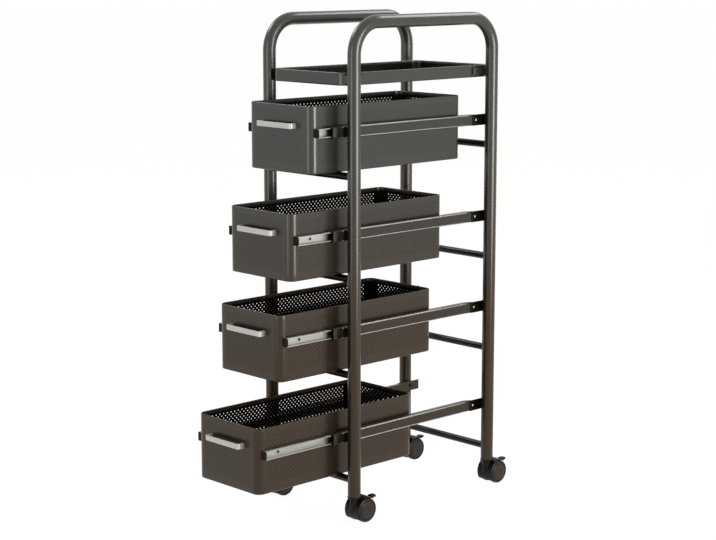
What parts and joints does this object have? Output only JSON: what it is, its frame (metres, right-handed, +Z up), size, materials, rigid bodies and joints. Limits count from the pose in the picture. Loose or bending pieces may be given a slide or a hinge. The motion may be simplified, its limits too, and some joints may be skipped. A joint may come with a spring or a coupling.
{
  "type": "slim rolling drawer cart",
  "caption": "Slim rolling cart: two bent-tube side frames carry a shallow top tray and a stack of perforated sheet-metal drawers on ball slides, on swivelling twin-wheel casters.",
  "frame": {"origin": "on the floor, midway between the four legs", "axes": "+Z up, -Y the way the drawers open, +X to the right of someone who faces the drawer fronts"},
  "size_m": [0.2728, 0.6559, 0.961],
  "materials": {
    "frame_paint": "satin gunmetal bronze powder coat",
    "tray_paint": "satin gunmetal bronze powder coat",
    "drawer_paint": "satin powder coat on perforated sheet",
    "rail_paint": "satin powder coat on rolled channel",
    "bar_paint": "dark satin powder coat",
    "bracket_paint": "dull black powder coat",
    "handle_steel": "satin",
    "runner_zinc": "bright zinc plate",
    "screw_steel": "dark zinc plate",
    "ball_steel": "polished",
    "pin_steel": "turned",
    "bumper_plastic": "moulded",
    "socket_plastic": "moulded",
    "caster_plastic": "moulded",
    "wheel_plastic": "moulded"
  },
  "bodies": {
    "frame": {"left_frame": "frame_paint", "right_frame": "frame_paint", "front_cross_bars": "bar_paint", "rear_cross_bars": "bar_paint", "slide_brackets": "bracket_paint", "top_tray": "tray_paint", "frame_screws": "screw_steel", "leg_sockets": "socket_plastic", "slide_rails_1": "rail_paint", "slide_rails_2": "rail_paint", "slide_rails_3": "rail_paint", "slide_rails_4": "rail_paint"},
    "drawer_1": {"drawer_1_tub": "drawer_paint", "drawer_1_handle": "handle_steel", "drawer_1_screws": "screw_steel", "drawer_1_runners": "runner_zinc", "drawer_1_bumpers": "bumper_plastic"},
    "cages_1": {"ball_cages_1": "ball_steel"},
    "drawer_2": {"drawer_2_tub": "drawer_paint", "drawer_2_handle": "handle_steel", "drawer_2_screws": "screw_steel", "drawer_2_runners": "runner_zinc", "drawer_2_bumpers": "bumper_plastic"},
    "cages_2": {"ball_cages_2": "ball_steel"},
    "drawer_3": {"drawer_3_tub": "drawer_paint", "drawer_3_handle": "handle_steel", "drawer_3_screws": "screw_steel", "drawer_3_runners": "runner_zinc", "drawer_3_bumpers": "bumper_plastic"},
    "cages_3": {"ball_cages_3": "ball_steel"},
    "drawer_4": {"drawer_4_tub": "drawer_paint", "drawer_4_handle": "handle_steel", "drawer_4_screws": "screw_steel", "drawer_4_runners": "runner_zinc", "drawer_4_bumpers": "bumper_plastic"},
    "cages_4": {"ball_cages_4": "ball_steel"},
    "front_left_caster": {"front_left_caster_hood": "caster_plastic", "front_left_caster_stem": "pin_steel", "front_left_caster_axle": "pin_steel"},
    "front_left_left_wheel": {"front_left_caster_left_wheel": "wheel_plastic"},
    "front_left_right_wheel": {"front_left_caster_right_wheel": "wheel_plastic"},
    "front_left_pedal": {"front_left_caster_brake_pedal": "caster_plastic"},
    "front_right_caster": {"front_right_caster_hood": "caster_plastic", "front_right_caster_stem": "pin_steel", "front_right_caster_axle": "pin_steel"},
    "front_right_left_wheel": {"front_right_caster_left_wheel": "wheel_plastic"},
    "front_right_right_wheel": {"front_right_caster_right_wheel": "wheel_plastic"},
    "front_right_pedal": {"front_right_caster_brake_pedal": "caster_plastic"},
    "rear_left_caster": {"rear_left_caster_hood": "caster_plastic", "rear_left_caster_stem": "pin_steel", "rear_left_caster_axle": "pin_steel"},
    "rear_left_left_wheel": {"rear_left_caster_left_wheel": "wheel_plastic"},
    "rear_left_right_wheel": {"rear_left_caster_right_wheel": "wheel_plastic"},
    "rear_left_pedal": {"rear_left_caster_brake_pedal": "caster_plastic"},
    "rear_right_caster": {"rear_right_caster_hood": "caster_plastic", "rear_right_caster_stem": "pin_steel", "rear_right_caster_axle": "pin_steel"},
    "rear_right_left_wheel": {"rear_right_caster_left_wheel": "wheel_plastic"},
    "rear_right_right_wheel": {"rear_right_caster_right_wheel": "wheel_plastic"},
    "rear_right_pedal": {"rear_right_caster_brake_pedal": "caster_plastic"}
  },
  "joints": [
    {"name": "drawer_1_slide", "type": "slide", "parent": "frame", "child": "drawer_1", "axis": [0, -1, 0], "range_m": [-0.042, 0.248]},
    {"name": "cages_1_slide", "type": "slide", "parent": "frame", "child": "cages_1", "axis": [0, -1, 0], "range_m": [-0.021, 0.124]},
    {"name": "drawer_2_slide", "type": "slide", "parent": "frame", "child": "drawer_2", "axis": [0, -1, 0], "range_m": [-0.093, 0.197]},
    {"name": "cages_2_slide", "type": "slide", "parent": "frame", "child": "cages_2", "axis": [0, -1, 0], "range_m": [-0.0465, 0.0985]},
    {"name": "drawer_3_slide", "type": "slide", "parent": "frame", "child": "drawer_3", "axis": [0, -1, 0], "range_m": [-0.121, 0.169]},
    {"name": "cages_3_slide", "type": "slide", "parent": "frame", "child": "cages_3", "axis": [0, -1, 0], "range_m": [-0.0605, 0.0845]},
    {"name": "drawer_4_slide", "type": "slide", "parent": "frame", "child": "drawer_4", "axis": [0, -1, 0], "range_m": [-0.175, 0.115]},
    {"name": "cages_4_slide", "type": "slide", "parent": "frame", "child": "cages_4", "axis": [0, -1, 0], "range_m": [-0.0875, 0.0575]},
    {"name": "front_left_swivel", "type": "hinge", "parent": "frame", "child": "front_left_caster", "pos_m": [-0.118, -0.1875, 0.05], "axis": [0, 0, 1], "continuous": true},
    {"name": "front_left_left_roll", "type": "hinge", "parent": "front_left_caster", "child": "front_left_left_wheel", "pos_m": [-0.118, -0.1685, 0.024], "axis": [1, 0, 0], "continuous": true},
    {"name": "front_left_right_roll", "type": "hinge", "parent": "front_left_caster", "child": "front_left_right_wheel", "pos_m": [-0.118, -0.1685, 0.024], "axis": [1, 0, 0], "continuous": true},
    {"name": "front_left_brake", "type": "hinge", "parent": "front_left_caster", "child": "front_left_pedal", "pos_m": [-0.118, -0.1535, 0.038], "axis": [1, 0, 0], "range_deg": [-18, 0]},
    {"name": "front_right_swivel", "type": "hinge", "parent": "frame", "child": "front_right_caster", "pos_m": [0.118, -0.1875, 0.05], "axis": [0, 0, 1], "continuous": true},
    {"name": "front_right_left_roll", "type": "hinge", "parent": "front_right_caster", "child": "front_right_left_wheel", "pos_m": [0.118, -0.1685, 0.024], "axis": [1, 0, 0], "continuous": true},
    {"name": "front_right_right_roll", "type": "hinge", "parent": "front_right_caster", "child": "front_right_right_wheel", "pos_m": [0.118, -0.1685, 0.024], "axis": [1, 0, 0], "continuous": true},
    {"name": "front_right_brake", "type": "hinge", "parent": "front_right_caster", "child": "front_right_pedal", "pos_m": [0.118, -0.1535, 0.038], "axis": [1, 0, 0], "range_deg": [-18, 0]},
    {"name": "rear_left_swivel", "type": "hinge", "parent": "frame", "child": "rear_left_caster", "pos_m": [-0.118, 0.1875, 0.05], "axis": [0, 0, 1], "continuous": true},
    {"name": "rear_left_left_roll", "type": "hinge", "parent": "rear_left_caster", "child": "rear_left_left_wheel", "pos_m": [-0.118, 0.2065, 0.024], "axis": [1, 0, 0], "continuous": true},
    {"name": "rear_left_right_roll", "type": "hinge", "parent": "rear_left_caster", "child": "rear_left_right_wheel", "pos_m": [-0.118, 0.2065, 0.024], "axis": [1, 0, 0], "continuous": true},
    {"name": "rear_left_brake", "type": "hinge", "parent": "rear_left_caster", "child": "rear_left_pedal", "pos_m": [-0.118, 0.2215, 0.038], "axis": [1, 0, 0], "range_deg": [-18, 0]},
    {"name": "rear_right_swivel", "type": "hinge", "parent": "frame", "child": "rear_right_caster", "pos_m": [0.118, 0.1875, 0.05], "axis": [0, 0, 1], "continuous": true},
    {"name": "rear_right_left_roll", "type": "hinge", "parent": "rear_right_caster", "child": "rear_right_left_wheel", "pos_m": [0.118, 0.2065, 0.024], "axis": [1, 0, 0], "continuous": true},
    {"name": "rear_right_right_roll", "type": "hinge", "parent": "rear_right_caster", "child": "rear_right_right_wheel", "pos_m": [0.118, 0.2065, 0.024], "axis": [1, 0, 0], "continuous": true},
    {"name": "rear_right_brake", "type": "hinge", "parent": "rear_right_caster", "child": "rear_right_pedal", "pos_m": [0.118, 0.2215, 0.038], "axis": [1, 0, 0], "range_deg": [-18, 0]}
  ],
  "couplings": [
    {"joint": "cages_1_slide", "follows": "drawer_1_slide", "ratio": 0.5},
    {"joint": "cages_2_slide", "follows": "drawer_2_slide", "ratio": 0.5},
    {"joint": "cages_3_slide", "follows": "drawer_3_slide", "ratio": 0.5},
    {"joint": "cages_4_slide", "follows": "drawer_4_slide", "ratio": 0.5}
  ]
}
